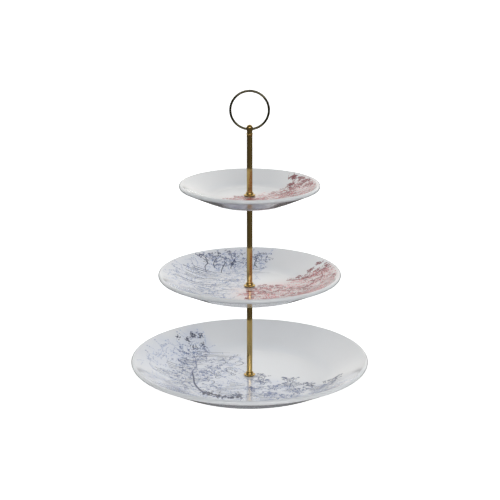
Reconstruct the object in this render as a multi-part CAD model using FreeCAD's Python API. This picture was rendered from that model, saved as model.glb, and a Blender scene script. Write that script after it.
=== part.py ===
"""Three-tier cake stand: porcelain plates clamped on a screwed rod with a ring handle.

Millimetres, +Z up. The origin is on the table, on the rod's axis, and the ring handle faces -Y.
Each plate is clamped between a metal washer with a soft pad below it and a bell-shaped collar with
a soft pad above it. A rod stands in each collar. Its lower end is tapped for the screw or stud that
comes up through the plate, and its upper end has a stud for the next tier. The topmost rod is
tapped at both ends and carries the finial with the ring through it.
"""
import FreeCAD, Part
import math
import os

Vector = FreeCAD.Vector

# Plates, from the table up: rim radius, depth from the rim to the flat floor, wall thickness, slope
# of the wall (degrees), radius of the curve between floor and wall, outer radius of the foot ring,
# and how far the foot ring stands below the floor's underside.
PLATES = [
    dict(name="bottom", post="lower", rim_radius=135.0, depth=22.6, wall=5.0, slope=28.0,
         floor_curve=50.0, foot_radius=73.0, foot_height=5.9),
    dict(name="middle", post="middle", rim_radius=102.5, depth=17.2, wall=4.8, slope=25.0,
         floor_curve=38.0, foot_radius=55.0, foot_height=2.5),
    dict(name="top", post="upper", rim_radius=78.0, depth=14.0, wall=4.6, slope=25.0,
         floor_curve=29.0, foot_radius=42.0, foot_height=1.8),
]
TIER_SPACING = 101.75       # from each rim to the next rim above it
TIP_ABOVE_RIM = 66.0        # from the top plate's rim to the tip of the finial
FOOT_WIDTH = 3.4            # thickness of the foot ring at its ground face
FOOT_DRAFT = 8.0            # degrees that the foot's sides lean out, upwards
FOOT_ROUND = 0.9            # rounding on both sides of the ground face

# Rods. Threads are plain cylinders at their nominal diameter.
ROD_RADIUS = 3.2
ROD_CHAMFER = 0.35
THREAD_RADIUS = 2.0
THREAD_CLEARANCE = 0.05     # radial, between a stud and its tapped hole
THREAD_PITCH = 0.7
THREAD_TURNS = 10
DRILL_RUNOUT = 1.5          # how far a tapped hole goes past its stud
STUD_CHAMFER = 0.5

# Washers, pads and collars.
WASHER_RADIUS = 6.2
WASHER_THICKNESS = 1.0
WASHER_CLEARANCE = 0.2      # radial, around the stud
PAD_RADIUS = 5.9
PAD_THICKNESS = 0.8
PLATE_CLEARANCE = 1.5       # radial, around the stud in the plate's hole
SOCKET_FLOOR = 1.2          # thickness of the collar below the rod's end
SOCKET_CLEARANCE = 0.05     # radial, between the rod and its socket
SOCKET_WALL = 0.85          # thickness of the collar around the rod, at its neck
COLLAR_FLARE = 2.5          # how far its foot stands out past its neck
COLLAR_HEIGHT = 3.6
COLLAR_EDGE = 0.8           # height of the straight edge at its foot
COLLAR_HOLLOW = 0.35        # how far the flare goes from straight (0) to square (1)

# Screw below the bottom plate.
HEAD_RADIUS = 4.4
HEAD_HEIGHT = 2.4
HEAD_ROUND = 0.8
SLOT_WIDTH = 1.2
SLOT_DEPTH = 1.1

# Finial, from its foot up: a bead, a waist, a taper and a domed knob.
FINIAL_HEIGHT = 11.0
BEAD_PROUD = 0.4            # how far the bead stands out past the rod
BEAD_HEIGHT = 1.6
WAIST_SHY = 0.15            # how far the waist stays inside the rod's outline
WAIST_HEIGHT = 1.9
TAPER_HEIGHT = 2.0
KNOB_PROUD = 0.3            # how far the knob stands out past the rod
SPIGOT_LENGTH = 6.0

# Ring handle.
WIRE_RADIUS = 1.3
RING_RADIUS = 21.0          # to the middle of the wire
RING_BELOW_TIP = 5.0        # lowest point of the wire's middle, below the finial's tip
RING_CLEARANCE = 0.06       # radial, around the bent wire in its straight hole

THREAD_LENGTH = THREAD_PITCH * THREAD_TURNS
WASHER_HOLE_RADIUS = THREAD_RADIUS + WASHER_CLEARANCE
PLATE_HOLE_RADIUS = THREAD_RADIUS + PLATE_CLEARANCE
SOCKET_RADIUS = ROD_RADIUS + SOCKET_CLEARANCE
NECK_RADIUS = SOCKET_RADIUS + SOCKET_WALL
COLLAR_RADIUS = NECK_RADIUS + COLLAR_FLARE
BEAD_RADIUS = ROD_RADIUS + BEAD_PROUD
WAIST_RADIUS = ROD_RADIUS - WAIST_SHY
KNOB_RADIUS = ROD_RADIUS + KNOB_PROUD
UP = Vector(0, 0, 1)


def point(radius, height):
    """A point of a turned outline: its radius and its height."""
    return Vector(radius, 0, height)


def direction(angle):
    """The unit step of an outline at an angle in degrees above the outward direction."""
    return point(math.cos(math.radians(angle)), math.sin(math.radians(angle)))


def line(*points):
    """Straight edges from each point to the next."""
    return [Part.makeLine(start, end) for start, end in zip(points, points[1:])]


def arc(centre, radius, start, end):
    """A circular edge between two angles in degrees."""
    angles = (start, (start + end) / 2, end)
    return [Part.Arc(*[centre + direction(angle) * radius for angle in angles]).toShape()]


def turned(edges):
    """The solid that a closed outline makes when it is turned about the rod's axis."""
    solid = Part.Face(Part.Wire(edges)).revolve(Vector(0, 0, 0), UP, 360)
    if solid.Volume < 0:
        solid.reverse()
    return solid


def disc(radius, bottom, height):
    """A cylinder on the rod's axis."""
    return Part.makeCylinder(radius, height, point(0, bottom))


def washer(radius, bottom, height):
    """A flat ring that the stud passes through."""
    return disc(radius, bottom, height).cut(disc(WASHER_HOLE_RADIUS, bottom, height))


def save(shape, node):
    """Write one node's solid."""
    shape.exportStep("parts/%s.step" % node)
    print("%-22s %10.1f mm3" % (node, shape.Volume))


class Tier:
    """The heights of one tier's stack, all worked out from its plate and its rim."""

    def __init__(self, plate, rim):
        self.plate = plate
        self.rim = rim
        self.floor = rim - plate["depth"]
        self.underside = self.floor - plate["wall"]
        self.ground = self.underside - plate["foot_height"]
        self.pad_below = self.underside - PAD_THICKNESS
        self.washer_below = self.pad_below - WASHER_THICKNESS
        self.collar = self.floor + PAD_THICKNESS
        self.rod_foot = self.collar + SOCKET_FLOOR
        self.stud_top = self.rod_foot + THREAD_LENGTH


def wall_line(tier, inset):
    """The curve and the slope from floor to lip, at a distance below the plate's inner surface."""
    plate = tier.plate
    slope = plate["slope"]
    curve = plate["floor_curve"]
    half = plate["wall"] / 2
    lip = point(plate["rim_radius"] - half, tier.rim - half)
    lip_inner = lip + direction(slope + 90) * half
    bend_rise = curve * (1 - math.cos(math.radians(slope)))
    run = (lip_inner.z - tier.floor - bend_rise) / math.sin(math.radians(slope))
    bend_end = lip_inner - direction(slope) * run
    centre = bend_end + direction(slope + 90) * curve
    bend = arc(centre, curve + inset, -90, slope - 90)
    sloped = line(bend_end - direction(slope + 90) * inset, lip_inner - direction(slope + 90) * inset)
    return bend + sloped, centre + point(0, -curve - inset), lip


def space_above(tier, inset):
    """Everything above the surface that lies at a distance inside the plate's wall."""
    wall, start, lip = wall_line(tier, inset)
    end = wall[-1].Vertexes[-1].Point
    outside = end + direction(tier.plate["slope"]) * tier.plate["wall"]
    top = tier.rim + tier.plate["depth"]
    return turned(wall + line(end, outside, point(outside.x, top), point(0, top),
                              point(0, start.z), start))


def foot_ring(tier):
    """Ring below the floor, from its rounded ground face up to the middle of the wall."""
    outer = tier.plate["foot_radius"]
    inner = outer - FOOT_WIDTH
    low = tier.ground
    round_height = low + FOOT_ROUND
    lean = (tier.rim - round_height) * math.tan(math.radians(FOOT_DRAFT))
    ring = turned(
        line(point(inner + FOOT_ROUND, low), point(outer - FOOT_ROUND, low))
        + arc(point(outer - FOOT_ROUND, round_height), FOOT_ROUND, -90, 0)
        + line(point(outer, round_height), point(outer + lean, tier.rim),
               point(inner - lean, tier.rim), point(inner, round_height))
        + arc(point(inner + FOOT_ROUND, round_height), FOOT_ROUND, 180, 270))
    return ring.cut(space_above(tier, tier.plate["wall"] / 2))


def make_plate(tier):
    """Coupe plate: flat floor, sloping wall, half-round lip, drilled middle and foot ring."""
    wall = tier.plate["wall"]
    slope = tier.plate["slope"]
    inner_wall, inner_start, lip = wall_line(tier, 0)
    outer_wall, outer_start, lip = wall_line(tier, wall)
    bowl = turned(
        inner_wall + arc(lip, wall / 2, slope + 90, slope - 90) + outer_wall[::-1]
        + line(outer_start, point(PLATE_HOLE_RADIUS, tier.underside),
               point(PLATE_HOLE_RADIUS, tier.floor), inner_start))
    return bowl.fuse(foot_ring(tier)).removeSplitter()


def make_collar(tier):
    """Bell-shaped washer: straight edge at the foot, hollow flare, and a socket for the rod."""
    bottom = tier.collar
    edge = point(COLLAR_RADIUS, bottom + COLLAR_EDGE)
    neck = point(NECK_RADIUS, bottom + COLLAR_HEIGHT)
    middle = (edge + neck) * 0.5
    hollow = middle + (point(neck.x, edge.z) - middle) * COLLAR_HOLLOW
    flare = Part.Arc(edge, hollow, neck).toShape()
    body = turned([flare] + line(neck, point(0, neck.z), point(0, bottom),
                                 point(COLLAR_RADIUS, bottom), edge))
    socket = disc(SOCKET_RADIUS, tier.rod_foot, COLLAR_HEIGHT)
    return body.cut(socket).cut(disc(WASHER_HOLE_RADIUS, bottom, COLLAR_HEIGHT))


def tapped_hole(mouth, length, way):
    """The space of a tapped hole with its drill point, going up (way 1) or down (way -1)."""
    radius = THREAD_RADIUS + THREAD_CLEARANCE
    depth = length + DRILL_RUNOUT
    hole = Part.makeCylinder(radius, depth, point(0, mouth), UP * way)
    drill_point = Part.makeCone(radius, 0, radius / 2, point(0, mouth + way * depth), UP * way)
    return hole.fuse(drill_point)


def stud(root, tip):
    """A threaded stud with a chamfer at its tip, which may be above or below its root."""
    chamfer = math.copysign(STUD_CHAMFER, tip - root)
    return turned(line(point(0, root), point(THREAD_RADIUS, root),
                       point(THREAD_RADIUS, tip - chamfer),
                       point(THREAD_RADIUS - STUD_CHAMFER, tip), point(0, tip), point(0, root)))


def rod_between(bottom, top):
    """A plain rod with both its end edges chamfered, tapped at the bottom."""
    rod = turned(line(
        point(0, bottom), point(ROD_RADIUS - ROD_CHAMFER, bottom),
        point(ROD_RADIUS, bottom + ROD_CHAMFER), point(ROD_RADIUS, top - ROD_CHAMFER),
        point(ROD_RADIUS - ROD_CHAMFER, top), point(0, top), point(0, bottom)))
    return rod.cut(tapped_hole(bottom, THREAD_LENGTH, 1))


def make_rod(tier, above):
    """A rod that stands in this tier's collar, with a stud through the tier above."""
    rod = rod_between(tier.rod_foot, above.washer_below)
    return rod.fuse(stud(above.washer_below - STUD_CHAMFER, above.stud_top)).removeSplitter()


def make_upper_rod(tier, top):
    """The topmost rod, which is tapped at its top for the finial too."""
    return rod_between(tier.rod_foot, top).cut(tapped_hole(top, SPIGOT_LENGTH, -1))


def make_screw(tier):
    """Slotted round-edged screw that holds the lower rod on the bottom plate."""
    seat = tier.washer_below
    low = seat - HEAD_HEIGHT
    edge = HEAD_RADIUS - HEAD_ROUND
    head = turned(
        arc(point(edge, low + HEAD_ROUND), HEAD_ROUND, -90, 0)
        + line(point(HEAD_RADIUS, low + HEAD_ROUND), point(HEAD_RADIUS, seat), point(0, seat),
               point(0, low), point(edge, low)))
    slot = Part.makeBox(2 * HEAD_RADIUS, SLOT_WIDTH, SLOT_DEPTH,
                        Vector(-HEAD_RADIUS, -SLOT_WIDTH / 2, low))
    return head.cut(slot).fuse(stud(low + SLOT_DEPTH, tier.stud_top)).removeSplitter()


def ring_rise():
    """How much the bent wire rises between the middle and the mouths of the cross hole."""
    return RING_RADIUS - math.sqrt(RING_RADIUS ** 2 - KNOB_RADIUS ** 2)


def ring_axis(tip):
    """Height of the cross hole, midway between the wire's lowest point and the hole's mouths."""
    return tip - RING_BELOW_TIP + ring_rise() / 2


def make_finial(tip):
    """Domed knob on a waist and a bead, with a cross hole for the ring and a spigot below."""
    foot = tip - FINIAL_HEIGHT
    bead = foot + BEAD_HEIGHT
    waist = bead + WAIST_HEIGHT
    skirt = waist + TAPER_HEIGHT
    shoulder = tip - KNOB_RADIUS
    bead_side = Part.Arc(point(ROD_RADIUS, foot), point(BEAD_RADIUS, foot + BEAD_HEIGHT / 2),
                         point(WAIST_RADIUS, bead)).toShape()
    body = turned(
        line(point(0, foot), point(ROD_RADIUS, foot)) + [bead_side]
        + line(point(WAIST_RADIUS, bead), point(WAIST_RADIUS, waist), point(KNOB_RADIUS, skirt),
               point(KNOB_RADIUS, shoulder))
        + arc(point(0, shoulder), KNOB_RADIUS, 0, 90) + line(point(0, tip), point(0, foot)))
    body = body.fuse(stud(bead, foot - SPIGOT_LENGTH)).removeSplitter()
    bore = WIRE_RADIUS + ring_rise() / 2 + RING_CLEARANCE
    return body.cut(Part.makeCylinder(bore, 4 * KNOB_RADIUS,
                                      Vector(-2 * KNOB_RADIUS, 0, ring_axis(tip)), Vector(1, 0, 0)))


def make_ring(tip):
    """Wire ring that stands in the plane through the rod's axis and faces -Y."""
    centre = point(0, tip - RING_BELOW_TIP + RING_RADIUS)
    return Part.makeTorus(RING_RADIUS, WIRE_RADIUS, centre, Vector(0, 1, 0))


def main():
    os.makedirs("parts", exist_ok=True)
    bottom = PLATES[0]
    lowest_rim = bottom["foot_height"] + bottom["wall"] + bottom["depth"]
    tiers = [Tier(plate, lowest_rim + level * TIER_SPACING) for level, plate in enumerate(PLATES)]
    tip = tiers[-1].rim + TIP_ABOVE_RIM
    for tier in tiers:
        name = tier.plate["name"]
        save(make_plate(tier), name + "_plate")
        save(washer(PAD_RADIUS, tier.floor, PAD_THICKNESS), name + "_pad_above")
        save(washer(PAD_RADIUS, tier.pad_below, PAD_THICKNESS), name + "_pad_below")
        save(washer(WASHER_RADIUS, tier.washer_below, WASHER_THICKNESS), name + "_flat_washer")
        save(make_collar(tier), tier.plate["post"] + "_collar")
    for tier, above in zip(tiers, tiers[1:]):
        save(make_rod(tier, above), tier.plate["post"] + "_rod")
    save(make_upper_rod(tiers[-1], tip - FINIAL_HEIGHT), "upper_rod")
    save(make_screw(tiers[0]), "bottom_screw")
    save(make_finial(tip), "finial")
    save(make_ring(tip), "ring_handle")
    print("rims at %s mm, tip at %.2f mm, ring turns about %.3f mm"
          % ([round(tier.rim, 2) for tier in tiers], tip, ring_axis(tip)))


main()
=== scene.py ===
# %% [markdown]
# # A three-tier cake stand
# Three porcelain plates are clamped one above another on a brass rod, with a ring on top to
# carry them by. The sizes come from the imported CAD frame, which stays as it is. This file gives
# each piece its visible shape and its finish, and each step says how the real piece is made.

import math
import random

import bpy
import numpy as np
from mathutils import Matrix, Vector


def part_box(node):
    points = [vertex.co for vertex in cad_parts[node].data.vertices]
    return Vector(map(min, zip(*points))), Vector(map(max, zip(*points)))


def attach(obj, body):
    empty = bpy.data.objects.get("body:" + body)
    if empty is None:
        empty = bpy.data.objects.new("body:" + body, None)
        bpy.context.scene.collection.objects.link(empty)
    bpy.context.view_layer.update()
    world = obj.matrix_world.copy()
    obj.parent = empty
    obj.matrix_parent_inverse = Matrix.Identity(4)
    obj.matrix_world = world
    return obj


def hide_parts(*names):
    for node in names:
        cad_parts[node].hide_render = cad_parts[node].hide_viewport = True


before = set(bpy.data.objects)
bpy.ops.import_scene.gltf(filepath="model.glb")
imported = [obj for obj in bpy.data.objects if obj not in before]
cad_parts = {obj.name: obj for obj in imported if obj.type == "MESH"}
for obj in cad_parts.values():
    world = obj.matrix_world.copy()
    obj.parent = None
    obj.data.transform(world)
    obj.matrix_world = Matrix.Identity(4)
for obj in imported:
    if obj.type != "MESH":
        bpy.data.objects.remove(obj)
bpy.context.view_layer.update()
MM = 0.001

# %% [markdown]
# Both materials and Geometry Nodes trees are made of nodes. A small helper adds a node, fills
# its inputs with numbers or with links, and hands it back, so that each tree below reads like a
# recipe.

# %% Node helpers
def add(tree, kind, inputs=None, **settings):
    """Add a node; an input is a number, a colour or another node's output."""
    node = tree.nodes.new(kind)
    for name, value in settings.items():
        setattr(node, name, value)
    for key, value in (inputs or {}).items():
        if isinstance(value, bpy.types.NodeSocket):
            tree.links.new(value, node.inputs[key])
        else:
            node.inputs[key].default_value = value
    return node


def maths(tree, operation, *values):
    """One step of arithmetic between sockets and numbers."""
    return add(tree, "ShaderNodeMath", dict(enumerate(values)), operation=operation).outputs[0]


def linear(red, green, blue):
    """A display colour, 0 to 255 in each part, as the linear colour that shaders use."""
    parts = [part / 255 for part in (red, green, blue)]
    return tuple(p / 12.92 if p < 0.04045 else ((p + 0.055) / 1.055) ** 2.4 for p in parts) + (1,)


def new_finish(name, **constants):
    """A material with one Principled shader, whose fixed numbers are set on its own sockets."""
    material = bpy.data.materials.new(name)
    material.use_nodes = True
    tree = material.node_tree
    shader = tree.nodes["Principled BSDF"]
    for key, value in constants.items():
        shader.inputs[key.replace("_", " ")].default_value = value
    return material, tree, shader


def ramp(tree, value, *stops):
    """A colour ramp through (position, colour) stops."""
    node = add(tree, "ShaderNodeValToRGB", {"Fac": value})
    elements = node.color_ramp.elements
    while len(elements) < len(stops):
        elements.new(0.5)
    for element, (position, colour) in zip(elements, stops):
        element.position = position
        element.color = colour
    return node.outputs["Color"]


def noise(tree, place, scale, detail=2.0, roughness=0.5):
    """Soft random variation, 0 to 1, with features about 1 / scale metres across."""
    return add(tree, "ShaderNodeTexNoise", {"Vector": place, "Scale": scale, "Detail": detail,
                                            "Roughness": roughness}).outputs["Fac"]


def between(tree, value, low, high):
    """Stretch a 0 to 1 value to run from low to high."""
    return add(tree, "ShaderNodeMapRange", {"Value": value, "To Min": low, "To Max": high}
               ).outputs["Result"]


def blend_colour(tree, share, first, second):
    """Mix two colours by a share; a Mix node's colour sockets have these numbers."""
    return add(tree, "ShaderNodeMix", {0: share, 6: first, 7: second},
               data_type="RGBA").outputs[2]


def new_tree(name, **sizes):
    """A Geometry Nodes tree with named inputs, given as a socket kind and a usual value."""
    tree = bpy.data.node_groups.new(name, "GeometryNodeTree")
    face = tree.interface
    face.new_socket("Geometry", in_out="INPUT", socket_type="NodeSocketGeometry")
    for label, (kind, usual) in sizes.items():
        socket = face.new_socket(label.replace("_", " "), in_out="INPUT",
                                 socket_type="NodeSocket" + kind)
        if usual is not None:
            socket.default_value = usual
    face.new_socket("Geometry", in_out="OUTPUT", socket_type="NodeSocketGeometry")
    return tree, tree.nodes.new("NodeGroupInput").outputs


def end_tree(tree, geometry, material):
    """Every tree ends in real geometry with its material."""
    real = add(tree, "GeometryNodeRealizeInstances", {"Geometry": geometry})
    painted = add(tree, "GeometryNodeSetMaterial", {"Geometry": real.outputs[0],
                                                    "Material": material})
    out = tree.nodes.new("NodeGroupOutput")
    tree.links.new(painted.outputs[0], out.inputs[0])


def link(obj):
    """Put an object in the scene."""
    bpy.context.scene.collection.objects.link(obj)
    return obj


def grown(name, mesh, tree, **values):
    """Run a tree on a mesh and keep the result as a plain mesh object."""
    holder = link(bpy.data.objects.new(name + "_source", mesh))
    modifier = holder.modifiers.new("nodes", "NODES")
    modifier.node_group = tree
    for item in tree.interface.items_tree:
        key = item.name.replace(" ", "_")
        if item.in_out == "INPUT" and key in values:
            modifier[item.identifier] = values[key]
    depsgraph = bpy.context.evaluated_depsgraph_get()
    made = bpy.data.meshes.new_from_object(holder.evaluated_get(depsgraph),
                                           depsgraph=depsgraph)
    bpy.data.objects.remove(holder)
    made.name = name
    piece = link(bpy.data.objects.new(name, made))
    print(name, len(made.polygons), "faces")
    return piece


# %% [markdown]
# ## Turning
# Plates are jiggered and rods are turned: in both, a profile goes once around an axis. A Spin
# or a Screw modifier could do this. Here a grid is wrapped round the axis in Geometry Nodes
# instead, row by row of the profile, because the same tree can then also cut a real screw
# thread: where a profile point is marked as threaded, its radius goes in and out as the angle
# and height change.

# %% The turning tree
turning, given = new_tree("Turned on the axis", Sides=("Int", 64), Thread_pitch=("Float", 0.0007),
                          Thread_depth=("Float", 0.0), Finish=("Material", None))
profile_size = add(turning, "GeometryNodeAttributeDomainSize", {"Geometry": given["Geometry"]})
rows = profile_size.outputs["Point Count"]
# a flat sheet, one unit each way, with a row of points for each point of the profile
sheet = add(turning, "GeometryNodeMeshGrid", {
    "Size X": 1.0, "Size Y": 1.0, "Vertices X": maths(turning, "ADD", given["Sides"], 1.0),
    "Vertices Y": rows})
place = add(turning, "ShaderNodeSeparateXYZ",
            {0: add(turning, "GeometryNodeInputPosition").outputs[0]})
around = maths(turning, "ADD", place.outputs["X"], 0.5)
row = maths(turning, "ROUND", maths(turning, "MULTIPLY",
                                    maths(turning, "ADD", place.outputs["Y"], 0.5),
                                    maths(turning, "SUBTRACT", rows, 1.0)))


def sampled(tree, source, value, index, kind):
    """A value read at one point of the profile."""
    return add(tree, "GeometryNodeSampleIndex", {"Geometry": source, "Value": value,
                                                 "Index": index}, data_type=kind).outputs[0]


outline = add(turning, "ShaderNodeSeparateXYZ", {0: sampled(
    turning, given["Geometry"], add(turning, "GeometryNodeInputPosition").outputs[0], row,
    "FLOAT_VECTOR")})
threaded = sampled(turning, given["Geometry"],
                   add(turning, "GeometryNodeInputNamedAttribute", {"Name": "threaded"},
                       data_type="FLOAT").outputs[0], row, "FLOAT")
phase = maths(turning, "SUBTRACT", maths(turning, "DIVIDE", outline.outputs["Z"],
                                         given["Thread pitch"]), around)
groove = maths(turning, "MULTIPLY", maths(turning, "PINGPONG", phase, 0.5), 2.0)
cut = maths(turning, "MULTIPLY", maths(turning, "MULTIPLY", groove, threaded),
            given["Thread depth"])
radius = maths(turning, "SUBTRACT", outline.outputs["X"], cut)
angle = maths(turning, "MULTIPLY", around, 2 * math.pi)
wrapped = add(turning, "GeometryNodeSetPosition", {
    "Geometry": sheet.outputs["Mesh"],
    "Position": add(turning, "ShaderNodeCombineXYZ", {
        "X": maths(turning, "MULTIPLY", radius, maths(turning, "COSINE", angle)),
        "Y": maths(turning, "MULTIPLY", radius, maths(turning, "SINE", angle)),
        "Z": outline.outputs["Z"]}).outputs[0]})
SEAM = 2e-6                                     # metres; closer points are joined
closed = add(turning, "GeometryNodeMergeByDistance", {"Geometry": wrapped.outputs[0],
                                                      "Distance": SEAM})
end_tree(turning, closed.outputs[0], given["Finish"])


def turned(name, profile, finish, sides, pitch=0.7, depth=0.0, sharp=35):
    """A piece turned from (radius, height, threaded) points in millimetres, anticlockwise."""
    mesh = bpy.data.meshes.new(name + "_profile")
    mesh.from_pydata([(p[0] * MM, 0, p[1] * MM) for p in profile],
                     [(i, i + 1) for i in range(len(profile) - 1)], [])
    marks = mesh.attributes.new("threaded", "FLOAT", "POINT")
    marks.data.foreach_set("value", [float(len(p) > 2 and p[2]) for p in profile])
    piece = grown(name, mesh, turning, Sides=sides, Thread_pitch=pitch * MM,
                  Thread_depth=depth * MM, Finish=finish)
    piece.data.shade_smooth()
    piece.data.set_sharp_from_angle(angle=math.radians(sharp))
    return piece


# %% [markdown]
# ## The plates' shape
# Each plate is a coupe: a flat floor curves up into a plain sloping wall that ends in a rounded
# lip, and a narrow foot ring below keeps the glaze off the table. Real ones are pressed from a
# clay disc by a turning template, so one outline says it all. The same few sizes as in the CAD
# source give the outline here, in finer steps, and the CAD piece's own box gives the heights.

# %% Outline of a plate
PLATES = {
    "bottom": dict(rim=135.0, depth=22.6, wall=5.0, slope=28, curve=50.0, foot=73.0, drop=5.9),
    "middle": dict(rim=102.5, depth=17.2, wall=4.8, slope=25, curve=38.0, foot=55.0, drop=2.5),
    "top": dict(rim=78.0, depth=14.0, wall=4.6, slope=25, curve=29.0, foot=42.0, drop=1.8),
}
BODY_OF_PLATE = {"bottom": "base", "middle": "middle_tray", "top": "top_tray"}
FOOT_WIDTH, FOOT_DRAFT, FOOT_ROUND, PLATE_HOLE = 3.4, 8, 0.9, 3.5
GLAZE_FILLET = 1.2                              # glaze fills the corners beside the foot


def bend(centre, radius, start, end, steps):
    """Points on an arc, between two angles in degrees."""
    return [(centre[0] + radius * math.cos(math.radians(a)),
             centre[1] + radius * math.sin(math.radians(a)))
            for a in np.linspace(start, end, steps)]


def spaced(points, step):
    """The same outline with extra points, so that no straight stretch is longer than a step."""
    out = [points[0]]
    for a, b in zip(points, points[1:]):
        parts = max(1, math.ceil(math.dist(a[:2], b[:2]) / step))
        for k in range(1, parts + 1):
            out.append(tuple(u + (v - u) * k / parts for u, v in zip(a, b)))
    return out


def plate_outline(name):
    """Inner face from the hole to the outermost lip, then the underside back to the hole."""
    p = PLATES[name]
    low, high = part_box(name + "_plate")
    rim = high.z / MM
    floor, half, slope = rim - p["depth"], p["wall"] / 2, p["slope"]
    lip = (p["rim"] - half, rim - half)
    up = (math.cos(math.radians(slope + 90)), math.sin(math.radians(slope + 90)))
    inner = (lip[0] + up[0] * half, lip[1] + up[1] * half)
    rise = p["curve"] * (1 - math.cos(math.radians(slope)))
    run = (inner[1] - floor - rise) / math.sin(math.radians(slope))
    end = (inner[0] - run * math.cos(math.radians(slope)),
           inner[1] - run * math.sin(math.radians(slope)))
    centre = (end[0] + up[0] * p["curve"], end[1] + up[1] * p["curve"])
    face = ([(PLATE_HOLE, floor)] + bend(centre, p["curve"], -90, slope - 90, 14)
            + bend(lip, half, slope + 90, 0, 14))
    under = floor - p["wall"]
    ground = under - p["drop"]
    lean = math.tan(math.radians(FOOT_DRAFT))
    inside, outside = p["foot"] - FOOT_WIDTH, p["foot"]
    straight = ground + FOOT_ROUND
    wall_curve = p["curve"] + p["wall"]
    blend = GLAZE_FILLET
    foot_inside = inside - (under - blend - straight) * lean
    outside_top = outside + (under - straight) * lean
    # the foot's outer side meets the underside in the wall's curve, or just before it
    beyond = outside_top - centre[0]
    meet = under + (wall_curve - math.sqrt(wall_curve ** 2 - beyond ** 2) if beyond > 0 else 0)
    outside_top = outside + (meet - straight) * lean
    start = math.degrees(math.asin(max(0.0, beyond + blend) / wall_curve)) - 90
    below = ([(PLATE_HOLE, under), (inside - blend - lean * blend, under)]
             + [(foot_inside - 0.35 * blend, under - 0.35 * blend), (foot_inside, under - blend)]
             + bend((inside + FOOT_ROUND, straight), FOOT_ROUND, 180, 270, 6)
             + bend((outside - FOOT_ROUND, straight), FOOT_ROUND, -90, 0, 6)
             + [(outside_top - lean * blend, meet - blend),
                (outside_top + 0.35 * blend, meet - 0.35 * blend)]
             + bend(centre, wall_curve, start, slope - 90, 12)
             + bend(lip, half, slope - 90, 0, 12))
    return face, below, ground


for name in PLATES:
    face, below, ground = plate_outline(name)
    print(name, "ground %.2f, floor %.2f, lip %.2f mm" % (ground, face[0][1], face[-1][1]))

# %% [markdown]
# ## Glazed porcelain
# The body is a cool white clay under a clear glaze: even white, with a gloss so smooth that it
# mirrors the rod. The glaze runs a little while it melts, so it pools bluish in the curve of
# the bowl and is thinner over the lip. A washed tint of pale blue or pink lies under the
# drawing, and the ground face of the foot is bare clay. Masks for these are stored on the
# mesh's points, because they belong to places on the plate, and noise in the material breaks
# their edges up.

# %% The porcelain
WHITE_CLAY = linear(243, 244, 246)
POOLED_GLAZE = linear(236, 239, 243)
BLUE_WASH = linear(214, 221, 238)
PINK_WASH = linear(238, 202, 200)
BARE_CLAY = linear(226, 219, 206)

porcelain, tree, shader = new_finish("glazed_porcelain", IOR=1.5, Specular_IOR_Level=0.5,
                                     Coat_Weight=1.0, Coat_Roughness=0.02, Coat_IOR=1.5)
place = add(tree, "ShaderNodeTexCoord").outputs["Object"]


def mask(tree, name):
    """A number that is stored on the mesh's points."""
    return add(tree, "ShaderNodeAttribute", attribute_name=name).outputs["Fac"]


mottle = noise(tree, place, 60, detail=4, roughness=0.6)
clay = blend_colour(tree, mask(tree, "pooled"), WHITE_CLAY, POOLED_GLAZE)
for name, colour, scale in (("blue_wash", BLUE_WASH, 85), ("pink_wash", PINK_WASH, 95)):
    brushed = noise(tree, place, scale, detail=5, roughness=0.65)
    strength = between(tree, brushed, 0.25, 1.15)
    share = maths(tree, "MULTIPLY", mask(tree, name), strength)
    clay = blend_colour(tree, share, clay, colour)
bare = mask(tree, "bare")
tint = blend_colour(tree, bare, clay, BARE_CLAY)
tree.links.new(tint, shader.inputs["Base Color"])
tree.links.new(maths(tree, "ADD", between(tree, mottle, 0.14, 0.2),
                     maths(tree, "MULTIPLY", bare, 0.5)), shader.inputs["Roughness"])
GLAZE_RIPPLE, CLAY_GRIT = 0.00002, 0.00006      # heights in metres
ripple = noise(tree, place, 130, detail=1)
grit = noise(tree, place, 4000, detail=2)
relief = maths(tree, "ADD", maths(tree, "MULTIPLY", ripple, GLAZE_RIPPLE),
               maths(tree, "MULTIPLY", maths(tree, "MULTIPLY", grit, bare), CLAY_GRIT))
tree.links.new(add(tree, "ShaderNodeBump", {"Height": relief, "Distance": 1.0, "Strength": 0.6}
                   ).outputs[0], shader.inputs["Normal"])
print(len(tree.nodes), "nodes in the porcelain")

# %% [markdown]
# ## Where the washes lie
# The drawing covers a part of each plate. A wash reaches as far as its drawing, so each one is
# described by how far a point is inside a simple outline on the plate, looking down on it with
# X to the right and Y to the back, and it fades across a soft edge.

# %% Outlines of the drawn areas, in millimetres
def soft(distance, edge):
    """0 outside, 1 inside, with a soft edge."""
    return 1 / (1 + np.exp(-np.clip(distance / edge, -30, 30)))


def blue_on_bottom(x, y):
    """A field on the left with a bump for the tree's crown, and a strip along the front."""
    crown = 36 * np.exp(-((x + 66) / 20) ** 2)
    left = np.minimum(2 - x, 74 + crown - y)
    right = -(y + 0.3 * x) - 4
    return np.where(x < 0, np.maximum(left, np.minimum(right, -x + 30)), right)


def blue_on_middle(x, y):
    """The left half, a little more of it at the back."""
    back = 2 + 0.27 * y - x
    front = np.minimum(-8 - x + 0.1 * y, 62 + y)
    return np.where(y > 0, back, front)


def pink_on_middle(x, y):
    """The front right quarter, up to a line that climbs to the right."""
    return np.minimum(np.minimum(-4 + 0.52 * (x + 12), 30 + 0.05 * (x - 50)) - y, x + 18)


def pink_on_top(x, y):
    """The same, and a little more of the left."""
    return np.minimum(np.minimum(2 + 0.5 * (x + 10), 44) - y, x + 30)


AREAS = {("bottom", "blue"): blue_on_bottom, ("middle", "blue"): blue_on_middle,
         ("middle", "pink"): pink_on_middle, ("top", "pink"): pink_on_top}

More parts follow.
